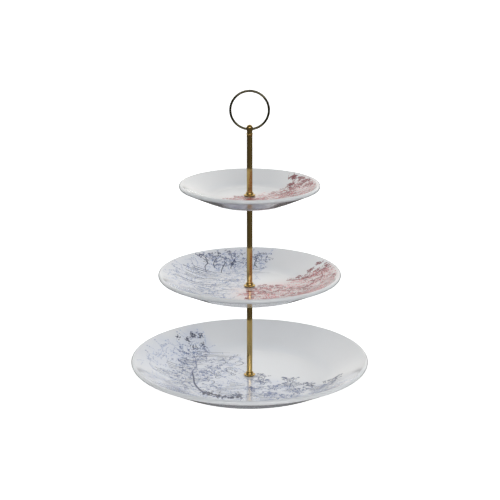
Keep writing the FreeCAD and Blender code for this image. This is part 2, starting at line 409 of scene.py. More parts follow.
# %% [markdown]
# ## Making the plates
# The outline is turned in 240 steps, then the masks are stored, and a UV map is laid out: the
# printed face gets a large disc, unrolled so that nothing is squashed, and the underside gets a
# smaller one. A disc like that has no seam across the face, which a cylinder's map would have.

# %% Turn the plates
FACE_DISC, UNDER_DISC = ((0.36, 0.64), 0.345), ((0.845, 0.155), 0.145)  # centre and radius
SIDES_PLATE, UPWARD = 240, 1e-4
FACE_STEP, UNDER_STEP = 2.5, 3.0                # longest straight step along the outline
UNPRINTED = -99.0                               # far outside any drawn area


def lay_out(mesh, face, below):
    """UV map: each side of a plate as a disc whose radius is the distance along its outline."""
    def along(points):
        steps = [0.0] + [math.dist(a, b) for a, b in zip(points, points[1:])]
        return np.array([p[0] for p in points]), np.cumsum(steps) + points[0][0]

    corners = np.empty(len(mesh.loops), int)
    mesh.loops.foreach_get("vertex_index", corners)
    co = np.empty(len(mesh.vertices) * 3)
    mesh.vertices.foreach_get("co", co)
    co = co.reshape(-1, 3)[corners] / MM
    upward = np.repeat([p.normal.z > UPWARD for p in mesh.polygons],
                       [p.loop_total for p in mesh.polygons])
    r = np.hypot(co[:, 0], co[:, 1])
    uv = np.empty((len(r), 2))
    for side, points, (centre, size) in ((upward, face, FACE_DISC), (~upward, below, UNDER_DISC)):
        radii, lengths = along(points)
        order = np.argsort(radii, kind="stable")
        s = np.interp(r[side], radii[order], lengths[order]) / lengths[-1] * size
        uv[side] = np.array(centre) + co[side, :2] / r[side, None] * s[:, None]
    mesh.uv_layers.new(name="OFBake").data.foreach_set("uv", uv.ravel())


def store(mesh, name, values):
    """Keep a number on each point of a mesh, for materials and trees to read."""
    mesh.attributes.new(name, "FLOAT", "POINT").data.foreach_set("value", values)


plates = {}
for name, body in BODY_OF_PLATE.items():
    face, below, ground = plate_outline(name)
    loop = spaced(below, UNDER_STEP)[:-1] + spaced(face, FACE_STEP)[::-1]
    loop.append(loop[0])
    plate = turned(name + "_plate_glazed", loop, porcelain, SIDES_PLATE, sharp=40)
    mesh = plate.data
    co = np.empty(len(mesh.vertices) * 3)
    mesh.vertices.foreach_get("co", co)
    x, y, z = (co.reshape(-1, 3) / MM).T
    r = np.hypot(x, y)
    rim, floor = PLATES[name]["rim"], face[0][1]
    on_face = (z > floor - 0.01) & (r < rim - 1)
    store(mesh, "bare", soft(ground + 0.25 - z, 0.05))
    store(mesh, "pooled", on_face * soft(floor + 3.5 - z, 1.0) * 0.8)
    for colour in ("blue", "pink"):
        area = AREAS.get((name, colour))
        wash = area(x, y) if area else np.full(len(x), UNPRINTED)
        store(mesh, colour + "_wash", on_face * soft(np.minimum(wash, rim - 4 - r), 4.0) * 0.75)
    lay_out(mesh, face, below)
    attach(plate, body)
    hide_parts(name + "_plate")
    plates[name] = plate

# %% [markdown]
# ## The drawing on the plates
# On the real plates a landscape of leafy trees and flowering shrubs is printed in fine ceramic
# ink over the wash. It could be painted in a texture, but a thin line needs a very large image,
# so here every stroke, leaf and blossom is a film of ink a few hundredths of a millimetre proud
# of the glaze. The plants are of this file's own design: a branch is a walk that bends and
# thins as it goes, and smaller branches and leaves leave it on both sides. Fixed seeds make the
# same drawing each time.

# %% Drawing plants, in millimetres on the plate
STRIDE = 2.5            # between two points of a line
TWIG = 0.22             # half the width of a twig
SPREAD = 0.9            # how far boughs lean off their branch, in radians


class Drawing:
    """Strokes are lists of (x, y, half width) with a tone; marks are leaves or berries."""

    def __init__(self, seed):
        self.dice = random.Random(seed)
        self.strokes = []
        self.marks = {"leaf": [], "berry": []}

    def stroke(self, points, tone):
        """Keep a line of (x, y, half width) points."""
        if len(points) > 1:
            self.strokes.append((points, tone))

    def mark(self, kind, x, y, heading, size, tone):
        """Keep a leaf or a berry."""
        self.marks[kind].append((x, y, heading, size, min(1.0, max(0.0, tone))))

    def walk(self, x, y, heading, length, width, bend, tone, wobble=0.10):
        """A line that bends by so many radians along its length and thins to its tip."""
        steps = max(3, int(length / STRIDE))
        points = []
        for k in range(steps + 1):
            points.append((x, y, width * (1 - 0.7 * k / steps)))
            heading += bend / steps + self.dice.gauss(0, wobble)
            x += math.cos(heading) * length / steps
            y += math.sin(heading) * length / steps
        self.stroke(points, tone)
        return points

    def sprig(self, x, y, heading, length, size, tone):
        """A twig with leaves in pairs and one at its tip."""
        bend = self.dice.uniform(-0.7, 0.7)
        points = self.walk(x, y, heading, length, TWIG, bend, tone * 0.9)
        for (ax, ay, _), (bx, by, _) in zip(points[1:], points[2:]):
            way = math.atan2(by - ay, bx - ax)
            for side in (-1, 1):
                if self.dice.random() < 0.8:
                    self.mark("leaf", bx, by, way + side * self.dice.uniform(0.6, 1.1),
                              size * self.dice.uniform(0.7, 1.15),
                              tone + self.dice.uniform(-0.22, 0.22))
        self.mark("leaf", points[-1][0], points[-1][1], way, size, tone)

    def bough(self, x, y, heading, length, width, tone, size, levels):
        """A branch that carries smaller branches, and sprigs at the last level."""
        points = self.walk(x, y, heading, length, width, self.dice.uniform(-0.6, 0.6), tone)
        sites = range(2, len(points), 2 if levels > 1 else 1)
        side = self.dice.choice((-1, 1))
        for k in sites:
            (ax, ay, _), (bx, by, thick) = points[k - 1], points[k]
            way = math.atan2(by - ay, bx - ax) + side * SPREAD * self.dice.uniform(0.6, 1.2)
            side = -side
            reach = length * self.dice.uniform(0.3, 0.55) * (1.15 - 0.5 * k / len(points))
            if levels > 1:
                self.bough(bx, by, way, reach, thick * 0.7, tone * 0.95, size, levels - 1)
            else:
                self.sprig(bx, by, way, max(5.0, reach), size, tone)
        end = points[-1]
        self.sprig(end[0], end[1], way, max(5.0, length * 0.3), size, tone)

    def trunk(self, points, width, tone, size, reach, levels=2):
        """A trunk through given points, with boughs to its sides; its outline is two strokes with
        bark.
        """
        fine = smooth_path(points, 3.0)
        for offset in (-1, 1):
            edge = []
            for k, ((ax, ay), (bx, by)) in enumerate(zip(fine, fine[1:])):
                thin = width * (1 - 0.6 * k / len(fine))
                way = math.atan2(by - ay, bx - ax) + math.pi / 2
                edge.append((ax + offset * thin * math.cos(way),
                             ay + offset * thin * math.sin(way), 0.32 + 0.1 * offset))
            self.stroke(edge, tone)
        for k in range(2, len(fine) - 1, 2):
            (ax, ay), (bx, by) = fine[k], fine[k + 1]
            way = math.atan2(by - ay, bx - ax)
            self.walk(ax, ay, way + 0.3, 3.0, 0.2, 0, tone * 0.8)
            side = (-1, 1)[(k // 2) % 2]
            self.bough(bx, by, way + side * self.dice.uniform(0.6, 1.1),
                       reach * self.dice.uniform(0.6, 1.1), width * 0.35, tone, size, levels)
        (ax, ay), (bx, by) = fine[-2:]
        self.bough(bx, by, math.atan2(by - ay, bx - ax), reach, width * 0.4, tone, size, levels)

    def cluster(self, x, y, wide, high, count, size, tone, kind="leaf"):
        """A dense clump of leaves or berries, darkest in its middle."""
        for _ in range(count):
            u, v = self.dice.gauss(0, 0.45), self.dice.gauss(0, 0.45)
            self.mark(kind, x + u * wide, y + v * high, self.dice.uniform(0, 2 * math.pi),
                      size * self.dice.uniform(0.6, 1.2),
                      tone - 0.25 * math.hypot(u, v) + self.dice.uniform(-0.12, 0.12))

    def ground(self, x, y, length, tone, rows=3, gap=3.0):
        """Level strokes, as for turf or still water."""
        for k in range(rows):
            start = x + self.dice.uniform(0, 0.3) * length
            self.walk(start, y - gap * k, self.dice.uniform(-0.05, 0.05),
                      length * self.dice.uniform(0.45, 0.75), 0.45, 0, tone, wobble=0.05)

    def curl(self, x, y, size, turns, way, tone, width):
        """A tendril that winds in."""
        points = []
        steps = int(14 * turns)
        for k in range(steps):
            t = k / steps
            a = way + 2 * math.pi * turns * t
            reach = size * (1 - 0.85 * t)
            points.append((x + reach * math.cos(a), y + reach * math.sin(a),
                           width * (1 - 0.6 * t)))
        self.stroke(points, tone)

    def flower(self, x, y, size, tone):
        """Five petals round a dark eye."""
        turn = self.dice.uniform(0, 2 * math.pi)
        for k in range(5):
            self.mark("leaf", x, y, turn + k * 2 * math.pi / 5, size,
                      tone + self.dice.uniform(-0.15, 0.1))
        self.mark("berry", x, y, 0, size * 0.35, tone + 0.35)

    def fill(self, area, rim, low, high, count, size, tone, lean=(0, 6.3)):
        """Loose sprigs over an area, thinning out towards its edge."""
        for _ in range(count):
            x, y = self.dice.uniform(*low), self.dice.uniform(*high)
            inside = float(area(np.array(x), np.array(y)))
            if math.hypot(x, y) > rim or self.dice.random() > inside / 12:
                continue
            self.sprig(x, y, self.dice.uniform(*lean), self.dice.uniform(6, 13),
                       size * self.dice.uniform(0.7, 1.1), tone + self.dice.uniform(-0.15, 0.2))


def smooth_path(points, step):
    """A soft curve through given points."""
    pts = np.array([points[0], *points, points[-1]], float)
    out = []
    for a, b, c, d in zip(pts, pts[1:], pts[2:], pts[3:]):
        parts = max(1, round(math.dist(b, c) / step))
        for t in np.arange(parts) / parts:
            out.append(tuple(0.5 * (2 * b + (c - a) * t + (2 * a - 5 * b + 4 * c - d) * t ** 2
                                    + (3 * b - a - 3 * c + d) * t ** 3)))
    out.append(tuple(pts[-1]))
    return out


# %% [markdown]
# The bottom plate carries a tall tree on its left, its crown up on the back wall, with
# tendrils, a row of berries on the front wall and low bushes that run off to the right.

# %% The drawing on the bottom plate
blue_bottom = Drawing(7)
d = blue_bottom
TRUNK = [(-50, -54), (-56, -44), (-62, -26), (-64, -8), (-66, 10), (-62, 28), (-64, 50)]
d.trunk(TRUNK, 0.9, tone=0.7, size=2.1, reach=22)
d.stroke([(x, y, 0.75) for x, y in smooth_path(TRUNK[:5], 3)], 1.15)
for x, y, wide, high, count in ((-69, 94, 5, 6, 64), (-74, 84, 4, 4, 34), (-86, 84, 3, 5, 16),
                                (-60, 97, 4, 6, 34), (-56, 84, 4, 4, 22), (-66, 76, 6, 4, 26)):
    d.cluster(x, y, wide, high, count, 2.3, 1.2)
d.bough(-28, -8, 2.4, length=28, width=0.5, tone=0.6, size=2.0, levels=2)
d.bough(-16, 34, 2.9, length=22, width=0.4, tone=0.7, size=2.0, levels=2)
TENDRILS = ((-14, 40, 9, 0.9), (-24, 20, 5, 1.5), (-34, 44, 8, 0.7), (-38, 8, 7, 0.8),
            (-20, 54, 6, 0.6), (-34, -8, 8, 0.6), (-18, 2, 4, 1.2), (-46, -20, 8, 0.7))
for x, y, size, turns in TENDRILS:
    d.curl(x, y, size, turns, d.dice.uniform(0, 6), tone=1.05, width=0.5)
    d.sprig(x, y, d.dice.uniform(0, 6), length=12, size=2.6, tone=0.9)
for x, y in ((-49, -54), (-43, -60), (-35, -63), (-28, -66), (-20, -66), (-13, -63)):
    d.cluster(x, y, 4.4, 6.0, count=10, size=3.6, tone=1.6, kind="berry")
    d.sprig(x, y, d.dice.uniform(0.5, 2.5), length=11, size=2.8, tone=1.2)
    d.curl(x, y, 3.5, 1.2, d.dice.uniform(0, 6), tone=1.2, width=0.5)
for x, y, tone in ((12, -12, 0.9), (14, -30, 0.8), (24, -46, 0.7), (46, -38, 0.9), (47, -22, 0.9),
                   (52, -58, 0.7), (72, -38, 1.0), (76, -50, 0.8), (96, -34, 1.0), (90, -46, 0.8),
                   (20, -68, 0.6), (40, -74, 0.6), (4, -52, 0.7)):
    for _ in range(5):
        d.bough(x + d.dice.uniform(-4, 4), y, d.dice.uniform(0.9, 2.2), length=12, width=0.35,
                tone=tone * 0.9, size=2.1, levels=1)
    d.cluster(x, y + 5, 5, 3, 10, 2.2, tone + 0.15)
    d.ground(x - 10, y - 4, 26, tone, 3)
for x, y, length in ((-70, 70, 60), (-100, 30, 40), (-112, 4, 46), (-104, -24, 44), (-90, -50, 40),
                     (-70, -70, 44), (-36, -56, 40), (-30, -24, 30), (2, -60, 40), (-40, 60, 34),
                     (-90, 48, 50), (-80, -10, 40), (-40, -40, 50)):
    d.ground(x, y, length, 0.95, 4, 4.0)
d.fill(blue_on_bottom, 122, (-122, 110), (-118, 112), count=1300, size=1.9, tone=0.36)
print(len(d.strokes), "strokes,", {k: len(v) for k, v in d.marks.items()})

# %% [markdown]
# The middle plate has a grove on the left, whose dark crowns reach the back rim, over a thin
# line of ground, and pink shrubs from the front to the right, with one darker branch.

# %% The drawings on the middle plate
blue_middle, pink_middle = Drawing(11), Drawing(23)
d = blue_middle
for path in (((-50, 46), (-52, 56), (-49, 64), (-52, 74)), ((-33, 50), (-32, 60), (-28, 72)),
             ((9, 66), (6, 73), (9, 82)), ((-41, 58), (-42, 66), (-39, 76)),
             ((-22, 62), (-21, 70), (-17, 80))):
    d.stroke([(x, y, 0.45) for x, y in smooth_path(path, 3)], 1.0)
    x, y = path[-1]
    for lean in (0.8, 1.6, 2.4):
        d.bough(x, y - 7, lean + d.dice.uniform(-0.3, 0.3), length=10, width=0.35, tone=0.8,
                size=1.9, levels=1)
for x, y, wide, high, count in ((-57, 75, 5, 5, 34), (-50, 65, 4, 5, 18), (-37, 85, 5, 3, 24),
                                (-25, 89, 5, 3, 24), (-20, 70, 3, 6, 22), (9, 83, 4, 5, 28),
                                (4, 71, 3, 4, 14), (17, 88, 5, 2, 12), (24, 77, 3, 3, 8),
                                (-45, 81, 4, 3, 14), (-8, 88, 4, 2, 8), (-4, 75, 3, 4, 8)):
    d.cluster(x, y, wide, high, count, 2.0, 1.2)
for x, y, length in ((-78, 50, 62), (-74, 42, 66), (-84, 30, 60), (-92, 14, 56), (-60, 6, 60),
                     (-80, -14, 50), (-60, -26, 44), (-40, -12, 34), (-16, 60, 40), (-30, 26, 30)):
    d.ground(x, y, length, 1.2 if y > 35 else 0.9, 3, 3.0)
d.bough(-60, -8, 0.5, length=22, width=0.4, tone=0.6, size=1.9, levels=2)
d.bough(-30, -16, 2.8, length=24, width=0.4, tone=0.55, size=1.9, levels=2)
d.bough(-8, 12, 2.2, length=20, width=0.35, tone=0.6, size=1.9, levels=2)
d.fill(blue_on_middle, 92, (-94, 30), (-70, 92), count=700, size=1.8, tone=0.34)

d = pink_middle
BRANCH = [(42, 22), (56, 24), (70, 22), (84, 28), (92, 32)]
d.trunk(BRANCH, 0.9, tone=1.0, size=2.4, reach=9, levels=1)
d.stroke([(x, y, 1.0) for x, y in smooth_path(BRANCH, 3)], 1.4)
BLOSSOM = ((70, 38, 40), (80, 45, 44), (89, 35, 36), (56, 29, 26), (64, 25, 26), (48, 24, 18),
           (78, 30, 24))
for x, y, count in BLOSSOM:
    d.cluster(x, y, 4.2, 3.2, count, size=2.6, tone=1.45)
for x, y in ((-4, -22), (4, -10), (8, -28), (14, -48), (18, -14), (28, -20), (34, -36), (44, -8),
             (52, -26), (62, -6), (66, -34), (78, -14), (80, 6), (20, -62), (44, -56), (-6, -46),
             (2, -70), (30, -74)):
    for _ in range(2):
        d.bough(x, y, d.dice.uniform(-0.1, 1.0), length=17, width=0.7, tone=1.0, size=2.6,
                levels=1)
    d.ground(x - 12, y - 3, 34, 0.9, 3)
    d.flower(x + 3, y + 3, 3.4, 0.9)
d.fill(pink_on_middle, 92, (-16, 95), (-92, 40), count=560, size=2.6, tone=0.5,
       lean=(-0.3, 0.9))

# %% [markdown]
# The top plate has only the pink shrubs, lying low along the front, and two heads of dark
# blossom on the right, towards the back.

# %% The drawing on the top plate
pink_top = Drawing(31)
d = pink_top
HEADS = ((50, 46, 60), (60, 38, 60), (67, 26, 50), (46, 30, 54), (65, 13, 40), (56, 24, 30))
for x, y, count in HEADS:
    d.cluster(x, y, 5, 4.5, count, size=2.8, tone=1.4)
    for _ in range(4):
        d.flower(x + d.dice.uniform(-5, 5), y + d.dice.uniform(-5, 5), 2.8, 1.0)
d.walk(50, 46, 1.5, 14, 0.35, 0.2, 1.0)
d.walk(44, 44, 1.6, 12, 0.3, -0.2, 0.9)
d.trunk([(20, -4), (34, 6), (44, 16), (54, 30)], 0.6, tone=0.9, size=2.3, reach=9, levels=1)
SHRUBS = ((-22, -14), (-12, -24), (-4, -18), (8, -10), (12, -30), (24, -16), (36, -6),
          (42, -24), (56, -8), (58, 8), (26, -38), (44, -40), (-8, -38), (4, -48), (30, -52),
          (-34, -20), (-28, -32), (20, 4), (34, 8))
for x, y in SHRUBS:
    for _ in range(2):
        d.bough(x, y, d.dice.uniform(-0.2, 0.9), length=15, width=0.6, tone=0.85, size=2.5,
                levels=1)
    d.ground(x - 14, y - 2, 36, 0.9, 4, 2.4)
d.fill(pink_on_top, 68, (-42, 70), (-66, 46), count=420, size=2.4, tone=0.55,
       lean=(-0.4, 1.2))
print(sum(len(each.strokes) for each in (blue_bottom, blue_middle, pink_middle, pink_top)),
      "strokes on the three plates")

# %% [markdown]
# ## From a plan to a film of ink
# A plan is flat, and the plate is not, so each piece of the drawing is made flat first and then
# dropped on to the glaze: a ray straight down from every point finds the plate's height there.
# The strokes are swept with a round section and the marks are copies of one small pillow; both
# are pressed almost flat, with their undersides just inside the glaze, so that nothing floats.

# %% The ink trees
def press_on_plate(tree, geometry, plate, squeeze):
    """Lower a flat drawing on to the plate below it, as a film of ink."""
    target = add(tree, "GeometryNodeObjectInfo", {"Object": plate}).outputs["Geometry"]
    here = add(tree, "ShaderNodeSeparateXYZ",
               {0: add(tree, "GeometryNodeInputPosition").outputs[0]})
    above = add(tree, "ShaderNodeCombineXYZ", {"X": here.outputs["X"], "Y": here.outputs["Y"],
                                               "Z": 1.0})
    ray = add(tree, "GeometryNodeRaycast", {"Target Geometry": target,
                                            "Source Position": above.outputs[0],
                                            "Ray Direction": (0, 0, -1), "Ray Length": 2.0})
    hit = add(tree, "ShaderNodeSeparateXYZ", {0: ray.outputs["Hit Position"]})
    height = maths(tree, "ADD", hit.outputs["Z"],
                   maths(tree, "MULTIPLY", here.outputs["Z"], squeeze))
    pressed = add(tree, "GeometryNodeSetPosition", {
        "Geometry": geometry, "Position": add(tree, "ShaderNodeCombineXYZ", {
            "X": here.outputs["X"], "Y": here.outputs["Y"], "Z": height}).outputs[0]})
    return pressed.outputs[0]


def named(tree, name):
    """A number that is stored on the flat drawing's points."""
    return add(tree, "GeometryNodeInputNamedAttribute", {"Name": name},
               data_type="FLOAT").outputs[0]


lines, given = new_tree("Ink strokes", Plate=("Object", None), Film=("Float", 0.00006),
                        Finish=("Material", None))
curve = add(lines, "GeometryNodeMeshToCurve", {"Mesh": given["Geometry"]}).outputs[0]
level = add(lines, "GeometryNodeSetCurveNormal", {"Curve": curve})
level.mode = "Z_UP"
section = add(lines, "GeometryNodeCurvePrimitiveCircle", {"Resolution": 4, "Radius": 1.0})
swept = add(lines, "GeometryNodeCurveToMesh", {
    "Curve": level.outputs[0], "Profile Curve": section.outputs[0],
    "Scale": named(lines, "half_width"), "Fill Caps": True})
squeeze = maths(lines, "DIVIDE", given["Film"], named(lines, "half_width"))
flat = add(lines, "GeometryNodeSetShadeSmooth", {"Geometry": press_on_plate(
    lines, swept.outputs[0], given["Plate"], squeeze), "Shade Smooth": False})
end_tree(lines, flat.outputs[0], given["Finish"])

stamps, given = new_tree("Ink marks", Stamp=("Object", None), Plate=("Object", None),
                         Film=("Float", 0.00006), Finish=("Material", None))
points = add(stamps, "GeometryNodeMeshToPoints", {"Mesh": given["Geometry"]}).outputs[0]
turn = add(stamps, "ShaderNodeCombineXYZ", {"Z": named(stamps, "heading")}).outputs[0]
copies = add(stamps, "GeometryNodeInstanceOnPoints", {
    "Points": points, "Instance": add(stamps, "GeometryNodeObjectInfo",
                                      {"Object": given["Stamp"]}).outputs["Geometry"],
    "Rotation": turn, "Scale": named(stamps, "size")}).outputs[0]
real = add(stamps, "GeometryNodeRealizeInstances", {"Geometry": copies}).outputs[0]
squeeze = maths(stamps, "DIVIDE", given["Film"], named(stamps, "size"))
flat = add(stamps, "GeometryNodeSetShadeSmooth", {"Geometry": press_on_plate(
    stamps, real, given["Plate"], squeeze), "Shade Smooth": False})
end_tree(stamps, flat.outputs[0], given["Finish"])


# %% [markdown]
# The stamps are one unit long: a pointed leaf that starts at its stalk, and a round berry. Each
# has a raised middle line and a closed underside.

# %% Stamps
def stamp(name, outline, ridge):
    """A closed pillow: an outline, a raised line of points along its middle, and a flat base."""
    count = len(outline)
    points = [(x, y, 0) for x, y in outline] + [(x, y, 1) for x, y in ridge]
    points.append((sum(x for x, _ in ridge) / len(ridge), 0, -1))
    base = len(points) - 1
    nearest = [count + min(range(len(ridge)), key=lambda j: math.dist(ridge[j], p))
               for p in outline]
    faces = []
    for k in range(count):
        n = (k + 1) % count
        faces.append((k, n, nearest[k]))
        if nearest[n] != nearest[k]:
            faces.append((n, nearest[n], nearest[k]))
        faces.append((n, k, base))
    mesh = bpy.data.meshes.new(name)
    mesh.from_pydata(points, [], faces)
    return link(bpy.data.objects.new(name, mesh))


leaf = stamp("leaf_stamp", [(0, 0), (0.25, -0.17), (0.55, -0.2), (0.82, -0.11), (1, 0),
                            (0.82, 0.11), (0.55, 0.2), (0.25, 0.17)], [(0.3, 0), (0.7, 0)])
berry = stamp("berry_stamp", [(0.5 * math.cos(a), 0.5 * math.sin(a))
                              for a in np.arange(7) * 2 * math.pi / 7], [(0, 0)])

# %% [markdown]
# ## The inks
# Both inks are fired under a gloss, so they shine as the glaze does. A mark's tone picks its
# colour between a thin wash and full ink, and a little noise gives the printed line its grain.

# %% Two ceramic inks
def ink(name, pale, middle, dark):
    """A glossy ink; only the gloss over it mirrors, so dark strokes stay dark."""
    material, tree, shader = new_finish(name, IOR=1.5, Specular_IOR_Level=0.05, Coat_Weight=1.0,
                                        Coat_Roughness=0.02, Coat_IOR=1.5, Roughness=0.4)
    place = add(tree, "ShaderNodeTexCoord").outputs["Object"]
    grain = between(tree, noise(tree, place, 700, detail=3), -0.14, 0.14)
    tone = maths(tree, "ADD", mask(tree, "tone"), grain)
    tree.links.new(ramp(tree, tone, (0.1, pale), (0.5, middle), (0.95, dark)),
                   shader.inputs["Base Color"])
    return material


blue_ink = ink("blue_ink", linear(186, 200, 228), linear(106, 123, 172), linear(32, 40, 76))
pink_ink = ink("pink_ink", linear(234, 182, 182), linear(206, 104, 110), linear(128, 34, 48))


def point_cloud(name, rows, columns, edges=()):
    """A mesh of bare points with number attributes, for a tree to read."""
    mesh = bpy.data.meshes.new(name)
    mesh.from_pydata([(r[0] * MM, r[1] * MM, 0) for r in rows], list(edges), [])
    for index, (column, scale) in enumerate(columns):
        store(mesh, column, [r[2 + index] * scale for r in rows])
    return mesh


def plan_map(piece, reach):
    """UV map of a drawing: its plan, as wide as the plate."""
    mesh = piece.data
    corners = np.empty(len(mesh.loops), int)
    mesh.loops.foreach_get("vertex_index", corners)
    co = np.empty(len(mesh.vertices) * 3)
    mesh.vertices.foreach_get("co", co)
    uv = co.reshape(-1, 3)[corners, :2] / (2.02 * reach * MM) + 0.5
    layer = mesh.uv_layers.get("OFBake") or mesh.uv_layers.new(name="OFBake")
    layer.data.foreach_set("uv", uv.ravel())


CLEAR_OF_COLLAR, CLEAR_OF_LIP, FILM = 6.2, 3.5, 0.05
PLURAL = {"leaf": "leaves", "berry": "berries"}


def on_face(x, y, rim, margin=0.0):
    """Whether a point is on the printable face, by a margin, between the collar and the rim."""
    return CLEAR_OF_COLLAR + margin < math.hypot(x, y) < rim - margin


def print_on(plate_name, drawing, colour, finish):
    """Turn one drawing into pieces that ride with their plate."""
    rim, plate = PLATES[plate_name]["rim"] - CLEAR_OF_LIP, plates[plate_name]
    pieces = []
    rows, edges = [], []
    for points, tone in drawing.strokes:
        joined = False                          # a stroke is cut where it leaves the face
        for x, y, half_width in points:
            kept = on_face(x, y, rim)
            if kept and joined:
                edges.append((len(rows) - 1, len(rows)))
            if kept:
                rows.append((x, y, half_width, tone))
            joined = kept
    cloud = point_cloud("strokes", rows, (("half_width", MM), ("tone", 1)), edges)
    pieces.append(grown(plate_name + "_" + colour + "_strokes", cloud, lines, Plate=plate,
                        Film=FILM * MM, Finish=finish))
    for kind, shape in (("leaf", leaf), ("berry", berry)):
        rows = [m for m in drawing.marks[kind] if on_face(m[0], m[1], rim, margin=m[3])]
        if not rows:
            continue
        columns = (("heading", 1), ("size", MM), ("tone", 1))
        pieces.append(grown(plate_name + "_" + colour + "_" + PLURAL[kind],
                            point_cloud(kind, rows, columns), stamps, Stamp=shape, Plate=plate,
                            Film=FILM * MM, Finish=finish))
    for piece in pieces:
        plan_map(piece, rim)
        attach(piece, BODY_OF_PLATE[plate_name])


print_on("bottom", blue_bottom, "blue", blue_ink)
print_on("middle", blue_middle, "blue", blue_ink)
print_on("middle", pink_middle, "pink", pink_ink)
print_on("top", pink_top, "pink", pink_ink)
for shape in (leaf, berry):
    bpy.data.objects.remove(shape)

# %% [markdown]
# ## Brass
# Rods, collars and finial are turned from brass bar and the ring is bent from brass wire; all
# are polished and then lacquered. One material serves them, because only the marks of the tool
# differ: on turned pieces they go round the axis, so they are noise that changes with height
# alone, and on the wire they are short scratches in all directions. Fingerprints dull the
# polish in patches, and the metal is a little browner there. The ring's wire is painted a
# darker olive bronze: a painted dark reflection that stands in for the dark surroundings it
# mirrors.

# %% Polished brass, turned and drawn
FRESH_BRASS, DULL_BRASS = linear(216, 188, 116), linear(182, 146, 84)
# painted dark reflection: the ring's wire colours are darkened to stand in for the dark
# surroundings it mirrors
FRESH_WIRE_PAINTED_DARK, DULL_WIRE_PAINTED_DARK = linear(118, 110, 82), linear(86, 80, 58)
MARK_DEPTH = 0.0000012                          # metres


def brass(name, fresh, dulled, marks_follow_height):
    """Lacquered brass in two shades, with turning marks or short scratches."""
    material, tree, shader = new_finish(name, Metallic=1.0, IOR=1.5, Coat_Weight=0.3,
                                        Coat_Roughness=0.05, Coat_IOR=1.5)
    place = add(tree, "ShaderNodeTexCoord").outputs["Object"]
    patches = noise(tree, place, 55, detail=5, roughness=0.65)
    dull = between(tree, patches, 0.0, 1.0)
    tree.links.new(blend_colour(tree, dull, fresh, dulled), shader.inputs["Base Color"])
    stretched = (40, 40, 6000) if marks_follow_height else (1500, 1500, 1500)
    marks = noise(tree, add(tree, "ShaderNodeMapping", {"Vector": place, "Scale": stretched}
                            ).outputs[0], 1.0, detail=3, roughness=0.6)
    tree.links.new(maths(tree, "ADD", between(tree, patches, 0.02, 0.09),
                         between(tree, marks, 0.0, 0.04)), shader.inputs["Roughness"])
    relief = maths(tree, "MULTIPLY", marks, MARK_DEPTH)
    tree.links.new(add(tree, "ShaderNodeBump", {"Height": relief, "Distance": 1.0, "Strength": 0.5}
                       ).outputs[0], shader.inputs["Normal"])
    return material


turned_brass = brass("turned_brass", FRESH_BRASS, DULL_BRASS, True)
# the ring's material, darkened as a painted dark reflection
dark_wire = brass("dark_wire", FRESH_WIRE_PAINTED_DARK, DULL_WIRE_PAINTED_DARK, False)

# %% [markdown]
# ## Rods
# Each rod is one bar. Its lower end is tapped, and the lower and middle rods have a stud at the
# top that goes up through the next plate. The stud and the tapped hole have the same thread,
# with a pitch of 0.7 mm, and both grooves start from the same place, so the two mesh and stay
# clear as one rod is screwed off the other. The lower rod's hole takes the plain screw below
# the bottom plate, and the upper rod's top takes the finial's plain spigot, so those stay
# smooth.

# %% Turn the rods
ROD, STUD, HOLE, CHAMFER = 3.2, 2.0, 2.05, 0.35
PITCH, GROOVE, THREAD_LENGTH, DRILL_RUNOUT = 0.7, 0.36, 7.0, 1.5
SPIGOT = 6.0                                    # length of the finial's plain spigot
SIDES_ROD, SIDES_COLLAR = 72, 96


def threaded_run(radius, start, end):
    """Rows close enough together to show the groove, between two heights."""
    rows = max(2, round(abs(end - start) / (PITCH / 6)))
    return [(radius, z, 1.0) for z in np.linspace(start, end, rows + 1)]


def tapped(mouth, length, way, threaded):
    """Outline of a tapped hole, from its drill point to its mouth, going up (1) or down (-1)."""
    depth = mouth + way * (length + DRILL_RUNOUT)
    run = []
    if threaded:
        run = [(HOLE, depth - way * 0.8, 0.0)]
        run += threaded_run(HOLE, depth - way * 1.0, mouth + way * 0.5)
    return ([(0, depth + way * HOLE / 2), (HOLE, depth)] + run
            + [(HOLE, mouth + way * 0.3), (HOLE + 0.25, mouth)])


def rod_outline(foot, top, stud_top=None, threaded_foot=False, spigot=None):
    """Tapped foot, chamfered ends, and at the top a threaded stud or a hole for the finial."""
    outline = tapped(foot, THREAD_LENGTH, 1, threaded_foot)
    outline += [(ROD - CHAMFER, foot), (ROD, foot + CHAMFER), (ROD, top - CHAMFER),
                (ROD - CHAMFER, top)]
    if stud_top:
        outline += [(STUD + 0.1, top), (STUD, top + 0.1)]
        outline += threaded_run(STUD, top + 0.3, stud_top - 0.6)
        outline += [(STUD - 0.05, stud_top - 0.5), (STUD - 0.5, stud_top), (0, stud_top)]
    else:
        outline += tapped(top, spigot, -1, False)[::-1]
    return outline


RODS = {"lower": ("middle", False), "middle": ("top", True), "upper": (None, True)}
for post, (above, threaded_foot) in RODS.items():
    node = post + "_rod"
    low, high = (corner.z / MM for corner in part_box(node))
    if above:
        washer_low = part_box(above + "_flat_washer")[0].z / MM
        outline = rod_outline(low, washer_low, high, threaded_foot)
    else:
        outline = rod_outline(low, high, None, threaded_foot, spigot=SPIGOT)
    rod = turned(node + "_turned", outline, turned_brass, SIDES_ROD, PITCH, GROOVE, sharp=32)
    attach(rod, post + "_post" if post != "upper" else "handle_post")
    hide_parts(node)
    print(node, "from %.2f to %.2f mm" % (low, high))

# %% [markdown]
# ## Collars
# A bell-shaped collar spreads the rod's pull over the plate. It is turned in one piece: a
# rounded foot, a hollow flare and a small bead round its neck, with a socket inside for the
# rod's end.

